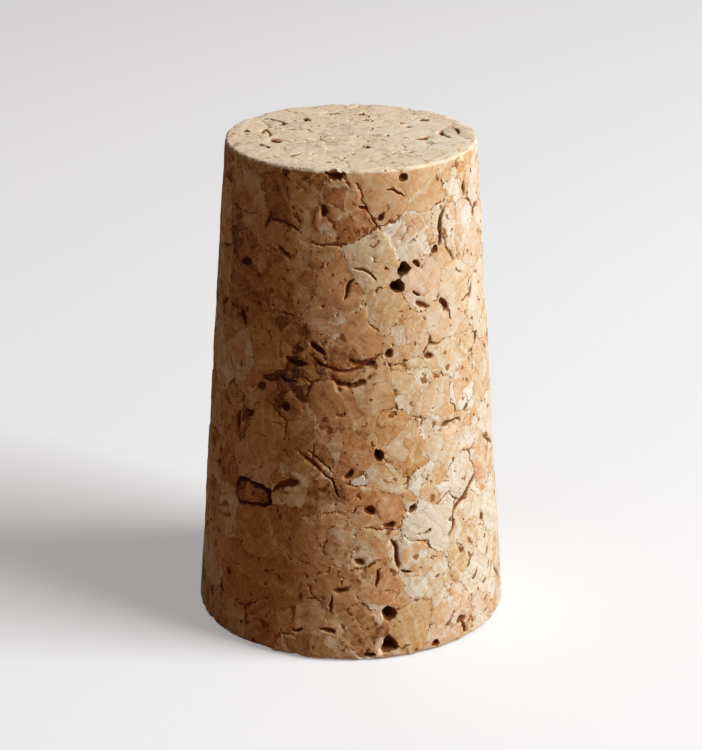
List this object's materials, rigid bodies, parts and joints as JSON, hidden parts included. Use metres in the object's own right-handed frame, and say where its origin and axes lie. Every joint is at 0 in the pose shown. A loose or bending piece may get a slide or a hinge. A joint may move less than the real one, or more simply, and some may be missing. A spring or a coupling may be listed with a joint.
{
  "type": "cork stopper",
  "caption": "Tapered stopper of bonded cork granules, a plain cone frustum with flat ends, pitted skin and lightly worn edges.",
  "frame": {"origin": "middle of the large end's flat face, on which the stopper stands", "axes": "+Z along the axis, from the large end to the small end; -Y is the front"},
  "size_m": [0.032, 0.032, 0.05],
  "materials": {
    "cork": "bonded cork granules, ground, matt and unsealed"
  },
  "bodies": {
    "root": {"stopper": "cork"}
  },
  "joints": []
}
